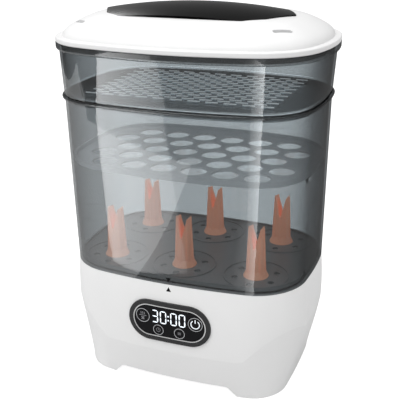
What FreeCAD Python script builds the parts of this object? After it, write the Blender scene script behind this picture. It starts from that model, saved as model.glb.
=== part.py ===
import FreeCAD, Part
import Sketcher
import math
import os
import re

# Bottle steriliser and dryer: a mains base with a steam plate, a hot-air blower and a key panel,
# carrying a tinted chamber, a peg rack, a tray, an upper tier and a lid that lift off one by one.
# Millimetres; +Z up, the front faces -Y, the origin is under the middle of the feet.

doc = FreeCAD.newDocument("bottle_steriliser")
sheet = doc.addObject("Spreadsheet::Sheet", "Sizes")
Sketch = Sketcher.Constraint
UP = FreeCAD.Vector(0, 0, 1)

# Plan sections of the shells. Each is an eight-arc oval:
# level, half width, half depth, front bow radius, side bow radius, corner radius.
SECTIONS = {
    "wall_foot": (0.6, 131.0, 91.8, 650, 520, 55),
    "wall_low": (50, 133.8, 93.2, 650, 520, 57),
    "wall_belly": (89, 135.5, 93.8, 650, 520, 58),
    "wall_high": (108, 135.2, 93.3, 650, 500, 58),
    "seam": (128.2, 133.9, 92.0, 648, 480, 57.5),
    "skirt_foot": (0.6, 118.8, 87.0, 640, 900, 40),
    "skirt_low": (32, 125.8, 91.0, 640, 800, 54),
    "skirt_mid": (50, 130.2, 93.6, 640, 700, 61),
    "skirt_high": (70, 134.4, 96.6, 640, 600, 67),
    "skirt_top": (128.2, 144.0, 106.0, 640, 520, 72),
    "drum_foot": (128.5, 133.9, 92.0, 648, 480, 57.5),
    "drum_top": (313.0, 137.2, 96.5, 520, 303, 58),
    "bead": (312.4, 139.9, 99.0, 520, 303, 60),
    "tier_foot": (316.8, 137.5, 96.9, 520, 303, 58),
    "tier_top": (370.3, 143.0, 101.0, 391, 190, 64),
    "rim": (363.4, 146.3, 104.2, 391, 178, 67),
    "tray": (244.0, 132.2, 91.0, 560, 370, 55),
    "rack": (131.3, 129.9, 88.0, 640, 470, 53.5),
    "dome_base": (376.2, 139.5, 97.3, 384, 171, 60),
    "dome_low": (381.0, 136.6, 94.6, 380, 168, 58),
    "dome_mid": (387.0, 128.5, 87.0, 370, 158, 53),
    "dome_upper": (392.0, 118.5, 77.5, 355, 142, 47),
    "dome_high": (397.0, 103.0, 62.0, 335, 118, 38),
    "dome_top": (401.2, 76.0, 38.0, 300, 74, 22),
}
PARTS_OF_SECTION = ("level", "width", "depth", "front", "side", "corner")

DRIVING = {
    "housing_wall": 3.0, "shell_wall": 2.4, "lid_wall": 2.8, "fit_gap": 0.6,
    # base
    "cavity_top": 109.0, "basin_floor": 112.0, "basin_inset": 6.5, "cover_level": 16.0,
    "cover_thickness": 2.5, "arch_height": 11.8, "arch_half_width": 63.0, "arch_run": 11.0,
    "leg_across": 88.0, "leg_along": 54.0, "leg_radius": 13.0, "pad_radius": 10.5,
    "pad_height": 5.0, "boss_across": 62.0, "boss_along": 68.0, "boss_radius": 4.5,
    "screw_radius": 1.7, "screw_head": 3.4,
    # panel
    "panel_curve": 650.0, "panel_level": 83.6, "panel_face": 95.2, "bezel_width": 47.4,
    "bezel_height": 23.8, "trim_width": 42.2, "trim_height": 18.8, "lens_width": 41.0,
    "lens_height": 17.6, "ledge_width": 40.3, "ledge_height": 16.9,
    "window_width": 45.3, "window_height": 21.7,
    "upper_key_across": 30.5, "upper_key_level": 87.5, "upper_key_radius": 8.2,
    "lower_key_across": 12.3, "lower_key_level": 73.3, "lower_key_radius": 6.2,
    "key_gap": 0.25, "board_front": 82.0, "board_thickness": 1.6,
    # heating plate
    "plate_across": -36.0, "plate_radius": 62.0, "coil_radius": 40.0, "tube_radius": 3.5,
    # blower and duct
    "blower_across": 60.0, "blower_along": 24.0, "blower_level": 26.0, "scroll_radius": 36.0,
    "scroll_height": 30.0, "scroll_wall": 2.0, "impeller_radius": 29.0, "shaft_radius": 1.5,
    "duct_across": 85.0, "duct_along": -34.0, "duct_half": 14.0, "chimney_radius": 13.0,
    # filter
    "filter_across": 0.0, "filter_level": 62.0, "filter_width": 30.0, "filter_height": 19.0,
    # power
    "gland_across": -60.0, "gland_level": 34.0, "gland_radius": 7.0, "gland_bore": 3.6, "gland_face": 87.6,
    # chamber
    "ledge_inset": 8.4, "ledge_top": 131.0, "spigot_inset": 7.2, "spigot_wall": 2.0,
    "spigot_depth": 6.0, "bead_height": 4.2, "tier_floor": 319.4, "tier_spigot": 6.8,
    "lid_skirt": 6.0, "peg_across": 82.0, "peg_along": 48.0, "peg_base": 133.5,
    "peg_height": 55.0, "peg_foot_radius": 13.5, "peg_body_radius": 10.2, "peg_top_radius": 7.8,
    "peg_bore": 5.6, "peg_notch_depth": 22.0, "hole_pitch": 34.0, "hole_row": 29.5,
    "hole_radius": 14.0,
    # lid
    "flange_foot": 370.7, "vent_across": 106.0, "vent_along": 56.0, "vent_length": 20.0,
    "vent_width": 4.6, "vent_turn": 40.0, "cap_tip": 104.0, "cap_shoulder": 78.0, "cap_depth": 56.0,
    "crown_level": 407.0, "crown_ring": 382.0, "crown_radius": 232.0,
}

sizes = dict(DRIVING)
for section, numbers in SECTIONS.items():
    for part_name, number in zip(PARTS_OF_SECTION, numbers):
        sizes[f"{section}_{part_name}"] = float(number)
for row, (alias, number) in enumerate(sizes.items(), start=1):
    sheet.set(f"A{row}", str(number))
    sheet.setAlias(f"A{row}", alias)
doc.recompute()


def value(formula):
    """The number a formula of named sizes gives, with + - * and brackets."""
    words = re.findall(r"[a-z_]+|[0-9.]+|[-+*()]", str(formula))

    def factor():
        word = words.pop(0)
        if word == "-":
            return -factor()
        if word == "(":
            inside = total()
            words.pop(0)
            return inside
        return sizes[word] if word in sizes else float(word)

    def product():
        result = factor()
        while words and words[0] == "*":
            words.pop(0)
            result *= factor()
        return result

    def total():
        result = product()
        while words and words[0] in "+-":
            sign = 1 if words.pop(0) == "+" else -1
            result += sign * product()
        return result

    return total()


def bound(formula):
    """The same formula as a spreadsheet expression."""
    return re.sub(r"[a-z][a-z_]*", lambda word: "Sizes." + word.group(0), str(formula))


def bind(item, **formulas):
    for name, formula in formulas.items():
        item.setExpression(name, bound(formula))


def place(item, x=0, y=0, z=0):
    for axis, formula in zip("xyz", (x, y, z)):
        item.setExpression("Placement.Base." + axis, bound(formula))
    return item


# ---------------------------------------------------------------- solid helpers

def block(name, low, size):
    item = doc.addObject("Part::Box", name)
    bind(item, Length=size[0], Width=size[1], Height=size[2])
    return place(item, *low)


def post(name, foot, radius, height, along="Z"):
    item = doc.addObject("Part::Cylinder", name)
    turns = {"Z": (UP, 0), "Y": (FreeCAD.Vector(1, 0, 0), -90), "X": (FreeCAD.Vector(0, 1, 0), 90)}
    item.Placement.Rotation = FreeCAD.Rotation(*turns[along])
    bind(item, Radius=radius, Height=height)
    return place(item, *foot)


def taper(name, foot, low_radius, high_radius, height):
    item = doc.addObject("Part::Cone", name)
    bind(item, Radius1=low_radius, Radius2=high_radius, Height=height)
    return place(item, *foot)


def cut(name, base, *tools):
    item = doc.addObject("Part::Cut", name)
    item.Base = base
    item.Tool = tools[0] if len(tools) == 1 else group(name + "_tools", *tools)
    return item


def fuse(name, *shapes):
    item = doc.addObject("Part::MultiFuse", name)
    item.Shapes = list(shapes)
    return item


def common(name, base, tool):
    item = doc.addObject("Part::Common", name)
    item.Base = base
    item.Tool = tool
    return item


def group(name, *shapes):
    """Separate solids kept together as one node or one tool."""
    item = doc.addObject("Part::Compound", name)
    item.Links = list(shapes)
    return item


# ---------------------------------------------------------------- sketch helpers

def new_body(name):
    return doc.addObject("PartDesign::Body", name)


def plane_of(body, role):
    return [plane for plane in body.Origin.OriginFeatures if plane.Role == role][0]


def new_sketch(body, name, level="0", role="XY_Plane"):
    sketch = body.newObject("Sketcher::SketchObject", name)
    sketch.AttachmentSupport = [(plane_of(body, role), "")]
    sketch.MapMode = "FlatFace"
    sketch.setExpression("AttachmentOffset.Base.z", bound(level))
    return sketch


def dimension(sketch, kind, *items, formula):
    index = sketch.addConstraint(Sketch(kind, *items, value(formula)))
    sketch.setExpression(f"Constraints[{index}]", bound(formula))


def corner_centre(half_width, half_depth, front, side, corner):
    """Centre of the lower right corner arc, tangent to the front bow and to the side bow."""
    front_y = front - half_depth
    side_x = half_width - side
    to_front = front - corner
    to_side = side - corner
    apart = math.hypot(side_x, front_y)
    along = (to_front ** 2 - to_side ** 2 + apart ** 2) / (2 * apart)
    aside = math.sqrt(to_front ** 2 - along ** 2)
    ux = side_x / apart
    uy = -front_y / apart
    choices = [(along * ux - k * aside * uy, front_y + along * uy + k * aside * ux) for k in (1, -1)]
    return min(choices, key=lambda centre: centre[1] - centre[0])


def add_oval(sketch, section, inset="0"):
    """Eight tangent arcs, the named section's oval moved inwards by the inset."""
    shift = value(inset)
    half_width, half_depth, front, side, corner = (
        value(f"{section}_{name}") - shift for name in PARTS_OF_SECTION[1:])
    cx, cy = corner_centre(half_width, half_depth, front, side, corner)
    front_y = front - half_depth
    side_x = half_width - side
    low = math.atan2(cy - front_y, cx)
    high = math.atan2(cy, cx - side_x)
    turn = math.pi
    arcs = [((0, front_y), front, -turn - low, low), ((cx, cy), corner, low, high),
            ((side_x, 0), side, high, -high), ((cx, -cy), corner, -high, -low),
            ((0, -front_y), front, -low, turn + low), ((-cx, -cy), corner, turn + low, turn + high),
            ((-side_x, 0), side, turn + high, turn - high),
            ((-cx, cy), corner, turn - high, turn - low)]
    first = sketch.GeometryCount
    for centre, radius, start, end in arcs:
        circle = Part.Circle(FreeCAD.Vector(*centre, 0), UP, radius)
        sketch.addGeometry(Part.ArcOfCircle(circle, start, end), False)
    for step in range(8):
        sketch.addConstraint(Sketch("Tangent", first + step, 2, first + (step + 1) % 8, 1))
    for arc, axis in ((0, -2), (4, -2), (2, -1), (6, -1)):
        sketch.addConstraint(Sketch("PointOnObject", first + arc, 3, axis))
    sketch.addConstraint(Sketch("Equal", first, first + 4))
    sketch.addConstraint(Sketch("Equal", first + 2, first + 6))
    for arc in (3, 5, 7):
        sketch.addConstraint(Sketch("Equal", first + 1, first + arc))
    dimension(sketch, "Radius", first, formula=f"{section}_front - ({inset})")
    dimension(sketch, "Radius", first + 2, formula=f"{section}_side - ({inset})")
    dimension(sketch, "Radius", first + 1, formula=f"{section}_corner - ({inset})")
    dimension(sketch, "DistanceY", -1, 1, first, 3, formula=f"{section}_front - {section}_depth")
    dimension(sketch, "DistanceY", first + 4, 3, -1, 1, formula=f"{section}_front - {section}_depth")
    dimension(sketch, "DistanceX", first + 2, 3, -1, 1, formula=f"{section}_side - {section}_width")
    dimension(sketch, "DistanceX", -1, 1, first + 6, 3, formula=f"{section}_side - {section}_width")


def oval(body, section, inset="0", level=None, inner=None):
    """A sketch of one oval, or of a ring between two insets of it."""
    sketch = new_sketch(body, section, level or f"{section}_level")
    add_oval(sketch, section, inset)
    if inner:
        add_oval(sketch, section, inner)
    return sketch


def loft(body, sections, kind="PartDesign::AdditiveLoft"):
    feature = body.newObject(kind, "Loft")
    feature.Profile = sections[0]
    feature.Sections = sections[1:]
    feature.Ruled = False
    return feature


def pad(body, sketch, length, down=False):
    feature = body.newObject("PartDesign::Pad", "Pad")
    feature.Profile = sketch
    feature.Reversed = down
    bind(feature, Length=length)
    return feature


def pocket(body, sketch, length, up=False):
    """A pocket cuts downwards from its sketch, or upwards; it has to take something away."""
    doc.recompute()
    before = body.Shape.Volume
    feature = body.newObject("PartDesign::Pocket", "Pocket")
    feature.Profile = sketch
    feature.Reversed = up
    bind(feature, Length=length)
    doc.recompute()
    if feature.Shape.Volume > before - 0.01:
        raise RuntimeError(f"{body.Label}: a pocket removes nothing")
    return feature


def shell_form(name, sections, inset="0", drop="0"):
    """A closed form through several sections, all inset and lowered alike."""
    body = new_body(name)
    loft(body, [oval(body, section, inset, f"{section}_level - ({drop})") for section in sections])
    return body


def band_edges(shape, low, high):
    """Level edges of the upright faces that span exactly low to high."""
    found = []
    for face in shape.Faces:
        box = face.BoundBox
        if abs(box.ZMin - low) < 0.01 and abs(box.ZMax - high) < 0.01:
            found += [edge for edge in face.Edges if edge.BoundBox.ZLength < 0.01]
    names = []
    for number, edge in enumerate(shape.Edges, start=1):
        if any(edge.isSame(other) for other in found):
            names.append((f"Edge{number}", edge.BoundBox.ZMin))
    return names


def round_edges(body, feature, names, radius):
    doc.recompute()
    fillet = body.newObject("PartDesign::Fillet", "Fillet")
    fillet.Base = (feature, names)
    bind(fillet, Radius=radius)
    return fillet


def stadium(name, half_width, half_height, front, back):
    """A prism along Y with straight long sides and round ends, centred on the panel."""
    run = f"({front}) - ({back})"
    middle = block(name + "_middle", (f"({half_height}) - ({half_width})", f"-({front})",
                                      f"panel_level - ({half_height})"),
                   (f"2 * ({half_width}) - 2 * ({half_height})", run, f"2 * ({half_height})"))
    ends = [post(f"{name}_end", (f"{sign} * (({half_width}) - ({half_height}))", f"-({front})",
                                 "panel_level"), half_height, run, "Y")
            for sign in (-1, 1)]
    return fuse(name, middle, *ends)


def curved_slab(name, front, back):
    """A slab bowed like the front wall, between two distances ahead of the middle plane."""
    centre = f"panel_curve - ({front})"
    outer = post(name + "_outer", (0, centre, 45), "panel_curve", 75)
    inner = post(name + "_inner", (0, centre, 44), f"panel_curve - ({front}) + ({back})", 77)
    return cut(name, outer, inner)


# ---------------------------------------------------------------- base housing and its covers

def base_form(name, inset):
    """The base's outside: the bowed wall form held inside the tapering skirt form."""
    wall = shell_form(name + "_wall", ["wall_foot", "wall_low", "wall_belly", "wall_high", "seam"], inset)
    skirt = shell_form(name + "_skirt",
                       ["skirt_foot", "skirt_low", "skirt_mid", "skirt_high", "skirt_top"], inset)
    return common(name, wall, skirt)


def arch(name):
    """The low gap between the corner feet, cut from front to back."""
    body = new_body(name)
    sketch = new_sketch(body, "arch_profile", "-120", "XZ_Plane")
    foot, top = value("wall_foot_level - 0.5"), value("arch_height")
    near, far = value("arch_half_width"), value("arch_half_width + arch_run")
    corners = [(-far, foot), (far, foot), (near, top), (-near, top)]
    for start, end in zip(corners, corners[1:] + corners[:1]):
        sketch.addGeometry(Part.LineSegment(FreeCAD.Vector(*start, 0), FreeCAD.Vector(*end, 0)), False)
    for side in range(4):
        sketch.addConstraint(Sketch("Coincident", side, 2, (side + 1) % 4, 1))
    sketch.addConstraint(Sketch("Horizontal", 0))
    sketch.addConstraint(Sketch("Horizontal", 2))
    dimension(sketch, "DistanceX", 0, 1, -1, 1, formula="arch_half_width + arch_run")
    dimension(sketch, "DistanceX", -1, 1, 0, 2, formula="arch_half_width + arch_run")
    dimension(sketch, "DistanceX", 2, 2, -1, 1, formula="arch_half_width")
    dimension(sketch, "DistanceX", -1, 1, 1, 2, formula="arch_half_width")
    dimension(sketch, "DistanceY", -1, 1, 0, 1, formula="wall_foot_level - 0.5")
    dimension(sketch, "DistanceY", -1, 1, 1, 2, formula="arch_height")
    doc.recompute()
    run = pad(body, sketch, "240")
    doc.recompute()
    slopes = [f"Edge{number}" for number, edge in enumerate(run.Shape.Edges, start=1)
              if edge.BoundBox.YLength > 200 and abs(edge.BoundBox.ZMin - top) < 0.01]
    round_edges(body, run, slopes, "8")
    return body


def make_base_housing():
    outside = base_form("base_outside", "0")
    inside = common("base_cavity", base_form("base_inside", "housing_wall"),
                    block("cavity_limit", (-160, -120, -1), (320, 240, "cavity_top + 1")))
    hollowed = cut("base_shell", outside, inside)
    basin = new_body("basin")
    pad(basin, oval(basin, "seam", "basin_inset", "basin_floor"), 20)
    bosses = [post("boss", (f"{x} * boss_across", f"{y} * boss_along", "cover_level + cover_thickness"),
                   "boss_radius", "cavity_top - cover_level - cover_thickness + 1")
              for x in (-1, 1) for y in (-1, 1)]
    solid = fuse("base_solid", hollowed, *bosses)
    pilots = [post("pilot", (f"{x} * boss_across", f"{y} * boss_along", 10), "screw_radius + 0.1", 26)
              for x in (-1, 1) for y in (-1, 1)]
    recess = common("panel_recess", stadium("recess", "bezel_width + 0.15", "bezel_height + 0.15",
                                            "panel_face + 3", "panel_face - 12"),
                    curved_slab("recess_slab", "panel_face + 2", "panel_face - 2.8"))
    window = stadium("window", "window_width", "window_height", "panel_face + 3", "panel_face - 12")
    plate_hole = post("plate_hole", ("plate_across", 0, 100), "plate_radius - 3.2", 20)
    duct_hole = post("duct_hole", ("duct_across", "duct_along", 100), "chimney_radius - 2", 20)
    filter_hole = block("filter_hole", ("filter_across - filter_width", 80, "filter_level - filter_height"),
                        ("2 * filter_width", 30, "2 * filter_height"))
    gland_hole = post("gland_hole", ("gland_across", 70, "gland_level"), "gland_radius - 1.5", 40, "Y")
    gland_seat = post("gland_seat", ("gland_across", "gland_face", "gland_level"),
                      "gland_radius + 0.2", 20, "Y")
    return cut("base_housing", solid, basin, arch("arch"), recess, window, plate_hole, duct_hole,
               filter_hole, gland_hole, gland_seat, *pilots)


def make_bottom_cover():
    """The floor plate, its four stub legs and the slots under the boards."""
    sheet_form = common("cover_sheet", base_form("cover_form", "housing_wall + 0.5"),
                        block("cover_band", (-160, -120, "cover_level"), (320, 240, "cover_thickness")))
    legs = [post("leg", (f"{x} * leg_across", f"{y} * leg_along", "pad_height - 1"), "leg_radius",
                 "cover_level - pad_height + 2") for x in (-1, 1) for y in (-1, 1)]
    holes = [post("cover_hole", (f"{x} * boss_across", f"{y} * boss_along", 10), "screw_radius + 0.3", 12)
             for x in (-1, 1) for y in (-1, 1)]
    sockets = [post("pad_socket", (f"{x} * leg_across", f"{y} * leg_along", 0), "pad_radius + 0.1",
                    "pad_height") for x in (-1, 1) for y in (-1, 1)]
    vents = [block("cover_vent", (-30 + 9 * step, -24, 12), (4, 48, 12)) for step in range(7)]
    return cut("bottom_cover", fuse("cover_solid", sheet_form, *legs), *holes, *sockets, *vents)


def make_feet():
    for side, x in (("left", -1), ("right", 1)):
        for end, y in (("front", -1), ("rear", 1)):
            name = f"foot_{end}_{side}"
            disc = taper(name + "_disc", (f"{x} * leg_across", f"{y} * leg_along", 0),
                         "pad_radius - 1", "pad_radius", 1.5)
            plug = post(name + "_plug", (f"{x} * leg_across", f"{y} * leg_along", 1.5), "pad_radius",
                        "pad_height - 1.5")
            yield fuse(name, disc, plug)


def screw(name, x, y, head_level, head_height, shank, radius, head_radius):
    """A pan-head screw standing upwards, head below."""
    head = post(name + "_head", (x, y, head_level), head_radius, head_height)
    slot = block(name + "_slot", (f"{x} - {head_radius}", f"{y} - 0.4", f"{head_level} - 1"),
                 (f"2 * {head_radius}", 0.8, 1.8))
    body = post(name + "_shank", (x, y, f"{head_level} + {head_height}"), radius, shank)
    return fuse(name, cut(name + "_pan", head, slot), body)


def make_bottom_screws():
    return group("bottom_screws", *[
        screw(f"bottom_screw_{number}", f"{x} * boss_across", f"{y} * boss_along", "cover_level - 2.4",
              2.4, 16, "screw_radius", "screw_head")
        for number, (x, y) in enumerate(((-1, -1), (1, -1), (-1, 1), (1, 1)))])


# ---------------------------------------------------------------- key panel

def make_panel_bezel():
    """The raised surround, with a ledge behind that the trim ring and the lens sit on."""
    ring = common("bezel_ring", stadium("bezel_rim", "bezel_width", "bezel_height", 99, 85),
                  curved_slab("bezel_slab", "panel_face", "panel_face - 2.7"))
    neck = common("bezel_neck", stadium("bezel_throat", "window_width - 0.2", "window_height - 0.2", 99, 85),
                  curved_slab("neck_slab", "panel_face - 2", "panel_face - 4.3"))
    well = stadium("bezel_well", "trim_width + 0.1", "trim_height + 0.1", 99, 85)
    pocket_room = common("bezel_pocket", well,
                         curved_slab("well_slab", "panel_face + 2", "panel_face - 2.9"))
    throat = stadium("bezel_opening", "ledge_width", "ledge_height", 100, 84)
    return cut("panel_bezel", fuse("bezel_solid", ring, neck), pocket_room, throat)


def make_panel_trim():
    ring = common("trim_ring", stadium("trim_rim", "trim_width", "trim_height", 99, 85),
                  curved_slab("trim_slab", "panel_face - 0.2", "panel_face - 2.8"))
    return cut("panel_trim", ring, stadium("trim_opening", "lens_width + 0.1", "lens_height + 0.1", 100, 84))


KEYS = {
    "mode": (-1, "upper_key"), "power": (1, "upper_key"),
    "left": (-1, "lower_key"), "right": (1, "lower_key"),
}


def key_post(name, key, radius, front, back):
    side, row = KEYS[key]
    return post(name, (f"{side} * {row}_across", f"-({front})", f"{row}_level"), radius,
                f"({front}) - ({back})", "Y")


def make_panel_lens():
    lens = common("lens_blank", stadium("lens_rim", "lens_width", "lens_height", 99, 85),
                  curved_slab("lens_slab", "panel_face - 0.4", "panel_face - 2.6"))
    holes = [key_post("key_hole", key, f"{KEYS[key][1]}_radius + key_gap", 100, 84) for key in KEYS]
    return cut("panel_lens", lens, *holes)


def make_keycaps():
    """Each cap follows the lens, with a stem behind it that snaps on its switch."""
    for key, (side, row) in KEYS.items():
        name = f"keycap_{key}"
        face = common(name + "_face", key_post(name + "_disc", key, f"{row}_radius", 99, 85),
                      curved_slab(name + "_slab", "panel_face - 0.3", "panel_face - 4.4"))
        stem = key_post(name + "_stem", key, 2.4, 91, 87.6)
        yield fuse(name, face, stem)


def make_control_board():
    board = block("board_sheet", (-41, "-board_front", 61), (82, "board_thickness", 42))
    holes = [post("board_hole", (x, -90, z), 1.7, 20, "Y") for x in (-37, 37) for z in (65, 99)]
    chip = block("board_chip", (-8, "board_thickness - board_front", 66), (14, 2, 14))
    header = block("board_header", (18, "board_thickness - board_front", 66), (14, 6, 6))
    return fuse("control_board", cut("board_drilled", board, *holes), chip, header)


def make_display_module():
    case = block("display_case", (-21, -91.2, 81.2), (42, "91.2 - board_front", 16))
    return cut("display_module", case, block("display_well", (-19.5, -92, 82.6), (39, 1.2, 13.2)))


def make_key_switches():
    switches = []
    for key, (side, row) in KEYS.items():
        cube = block(f"switch_{key}", (f"{side} * {row}_across - 3", -85.4, f"{row}_level - 3"),
                     (6, "85.4 - board_front", 6))
        switches.append(fuse(f"switch_body_{key}", cube, key_post(f"plunger_{key}", key, 1.7, 86.8, 85)))
    return group("key_switches", *switches)


# ---------------------------------------------------------------- steam plate

def make_heating_plate():
    """A pressed dish: a flat rim on the basin floor and a shallow well through it."""
    rim = post("plate_rim", ("plate_across", 0, "basin_floor + 1"), "plate_radius", 1.5)
    well = post("plate_well", ("plate_across", 0, "basin_floor - 3"), "plate_radius - 4", 4.5)
    dish = post("plate_dish", ("plate_across", 0, "basin_floor - 1.5"), "plate_radius - 5.5", 8)
    return cut("heating_plate", fuse("plate_solid", rim, well), dish)


def make_plate_seal():
    ring = post("seal_ring", ("plate_across", 0, "basin_floor"), "plate_radius + 0.6", 1)
    return cut("plate_seal", ring, post("seal_hole", ("plate_across", 0, 100), "plate_radius - 3.4", 20))


def make_heater_element():
    """A sheathed element bent to an open ring under the plate, with two cold pins."""
    ring = doc.addObject("Part::Torus", "element_ring")
    bind(ring, Radius1="coil_radius", Radius2="tube_radius")
    ring.Angle3 = 310
    ring.Placement.Rotation = FreeCAD.Rotation(UP, 25)
    place(ring, "plate_across", 0, "basin_floor - 3 - tube_radius")
    pins = []
    for sign in (-1, 1):
        angle = math.radians(28) * sign
        x, y = value("coil_radius") * math.cos(angle), value("coil_radius") * math.sin(angle)
        pins.append(post("element_pin", (f"plate_across + {x:.4f}", f"{y:.4f}", 86), "tube_radius - 0.5",
                         "basin_floor - 3 - tube_radius - 86"))
    return fuse("heater_element", ring, *pins)


def make_thermostat():
    can = post("thermostat_can", ("plate_across", 0, "basin_floor - 12"), 8, 9)
    tabs = [block("thermostat_tab", (f"plate_across - 3.2", y, "basin_floor - 18"), (6.4, 0.8, 7))
            for y in (-5, 4.2)]
    return fuse("thermostat", can, *tabs)


def make_thermal_fuse():
    """Two cut-outs clipped beside the element on one bracket."""
    fuses = [post("fuse_link", ("plate_across - 24", y, "basin_floor - 5.2"), 2, 14, "X")
             for y in (-12, 12)]
    bracket = block("fuse_bracket", ("plate_across - 24", -14, "basin_floor - 8.4"), (5, 28, 1.2))
    feet = [block("fuse_clip", ("plate_across - 24", y, "basin_floor - 8"), (5, 4, 2.4)) for y in (-14, 10)]
    return fuse("thermal_fuse", bracket, *feet, *fuses)


# ---------------------------------------------------------------- hot-air blower

def blower_post(name, lift, radius, height):
    return post(name, ("blower_across", "blower_along", f"blower_level + {lift}"), radius, height)


def make_blower_scroll():
    drum = blower_post("scroll_drum", "0", "scroll_radius", "scroll_height")
    horn = block("scroll_horn", ("blower_across + 10", "duct_along - 14", "blower_level"),
                 ("scroll_radius - 10", "blower_along - duct_along + 14", "scroll_height"))
    room = blower_post("scroll_room", "scroll_wall", "scroll_radius - scroll_wall", "scroll_height")
    horn_room = block("horn_room", ("blower_across + 10 + scroll_wall", "duct_along - 12",
                                    "blower_level + scroll_wall"),
                      ("scroll_radius - 10 - 2 * scroll_wall", "blower_along - duct_along + 12",
                       "scroll_height"))
    eye = blower_post("scroll_eye", "-5", 19, 20)
    return cut("blower_scroll", fuse("scroll_solid", drum, horn), room, horn_room, eye)


def make_blower_cover():
    """The lid of the scroll, open over the horn for the duct and drilled for the motor's shaft."""
    disc = blower_post("cover_disc", "scroll_height", "scroll_radius", 2)
    tongue = block("cover_tongue", ("blower_across + 10", "duct_along + 15", "blower_level + scroll_height"),
                   ("scroll_radius - 10", "blower_along - duct_along - 15", 2))
    return cut("blower_cover", fuse("cover_blank", disc, tongue), blower_post("cover_eye", "20", 6, 30))


def make_fan_impeller():
    """A squirrel-cage wheel: back plate, blades, shroud ring and a hub pressed on the shaft."""
    hub = blower_post("impeller_hub", "4", 5, 20)
    plate = blower_post("impeller_plate", "22", "impeller_radius", 1.6)
    ring = cut("impeller_shroud", blower_post("shroud_disc", "4", "impeller_radius", 1.6),
               blower_post("shroud_hole", "0", "impeller_radius - 7", 10))
    blades = []
    for step in range(24):
        turn = 15 * step
        blade = block(f"blade_{step}", (0, 0, "blower_level + 5"), (6.5, 1, 18))
        angle = math.radians(turn)
        reach = value("impeller_radius - 7.2")
        blade.Placement.Rotation = FreeCAD.Rotation(UP, turn + 28)
        place(blade, f"blower_across + {reach * math.cos(angle):.4f}",
              f"blower_along + {reach * math.sin(angle):.4f}", "blower_level + 5")
        blades.append(blade)
    bore = blower_post("impeller_bore", "0", "shaft_radius + 0.05", 30)
    return cut("fan_impeller", fuse("impeller_solid", hub, plate, ring, *blades), bore)


def make_fan_motor():
    can = blower_post("motor_can", "scroll_height + 2", 17, 20)
    nose = blower_post("motor_nose", "scroll_height - 3.2", 5.4, 5.4)
    cap = blower_post("motor_cap", "scroll_height + 22", 6, 2.5)
    way = blower_post("shaft_way", "0", "shaft_radius + 0.05", "scroll_height + 20")
    return cut("fan_motor", fuse("motor_solid", can, nose, cap), way)


def make_motor_shaft():
    return blower_post("motor_shaft", "5", "shaft_radius", "scroll_height + 13")


def make_air_duct():
    """The riser from the blower's horn to the basin."""
    low = "blower_level + scroll_height"
    outer = block("duct_outer", ("duct_across - duct_half", "duct_along - duct_half", low),
                  ("2 * duct_half", "2 * duct_half", "cavity_top - blower_level - scroll_height"))
    inner = block("duct_inner", ("duct_across - duct_half + 2", "duct_along - duct_half + 2", 50),
                  ("2 * duct_half - 4", "2 * duct_half - 4", 70))
    return cut("air_duct", outer, inner)


def make_ptc_heater():
    frame = block("ptc_frame", ("duct_across - 11", "duct_along - 11", 68), (22, 22, 18))
    gaps = [block(f"ptc_gap_{step}", (f"duct_across - 9.6 + {3.3 * step:.1f}", "duct_along - 9.5", 60),
                  (2.4, 19, 40)) for step in range(6)]
    return cut("ptc_heater", frame, *gaps)


def make_air_outlet():
    """A capped chimney that keeps the basin's water out of the duct."""
    tube = post("outlet_tube", ("duct_across", "duct_along", "cavity_top + 0.2"), "chimney_radius - 2.2",
                "14.3")
    flange = post("outlet_flange", ("duct_across", "duct_along", "basin_floor"), "chimney_radius", 1.6)
    hood = post("outlet_hood", ("duct_across", "duct_along", 123.5), "chimney_radius - 0.5", 2)
    windows = [block("outlet_window", (f"duct_across - {a}", f"duct_along - {b}", 116), (2 * a, 2 * b, 7.5))
               for a, b in ((16, 3), (3, 16))]
    bore = post("outlet_bore", ("duct_across", "duct_along", 100), "chimney_radius - 4", 23.5)
    return cut("air_outlet", fuse("outlet_solid", tube, flange, hood), bore, *windows)


# ---------------------------------------------------------------- filter and rear fittings

def make_filter_element():
    frame = block("filter_frame",
                  ("filter_across - filter_width + 1", 80, "filter_level - filter_height + 1"),
                  ("2 * filter_width - 2", 9.5, "2 * filter_height - 2"))
    pleats = [block(f"pleat_{step}", (f"filter_across - filter_width + {4 + 4.4 * step:.1f}", 79,
                                      "filter_level - filter_height + 4"),
                    (2.2, 8, "2 * filter_height - 8")) for step in range(12)]
    return cut("filter_element", frame, *pleats)


def make_filter_cover():
    plate = block("filter_plate",
                  ("filter_across - filter_width - 4", 94.1, "filter_level - filter_height - 4"),
                  ("2 * filter_width + 8", 2.2, "2 * filter_height + 8"))
    neck = block("filter_neck",
                 ("filter_across - filter_width + 0.6", 90.0, "filter_level - filter_height + 0.6"),
                 ("2 * filter_width - 1.2", 4.6, "2 * filter_height - 1.2"))
    hollow = block("filter_hollow",
                   ("filter_across - filter_width + 2.6", 88, "filter_level - filter_height + 2.6"),
                   ("2 * filter_width - 5.2", 6.4, "2 * filter_height - 5.2"))
    louvres = [block(f"louvre_{step}", ("filter_across - 24", 90, f"filter_level - 14 + {6 * step}"),
                     (48, 12, 2.4))
               for step in range(5)]
    return cut("filter_cover", fuse("filter_solid", plate, neck), hollow, *louvres)


def make_cord_gland():
    """The bush in the rear wall that the mains lead would pass through."""
    body = post("gland_body", ("gland_across", 79, "gland_level"), "gland_radius - 1.7", 11, "Y")
    collar = post("gland_collar", ("gland_across", "gland_face + 0.1", "gland_level"),
                  "gland_radius", 4.4, "Y")
    bore = post("gland_way", ("gland_across", 70, "gland_level"), "gland_bore", 40, "Y")
    return cut("cord_gland", fuse("gland_solid", body, collar), bore)


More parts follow.
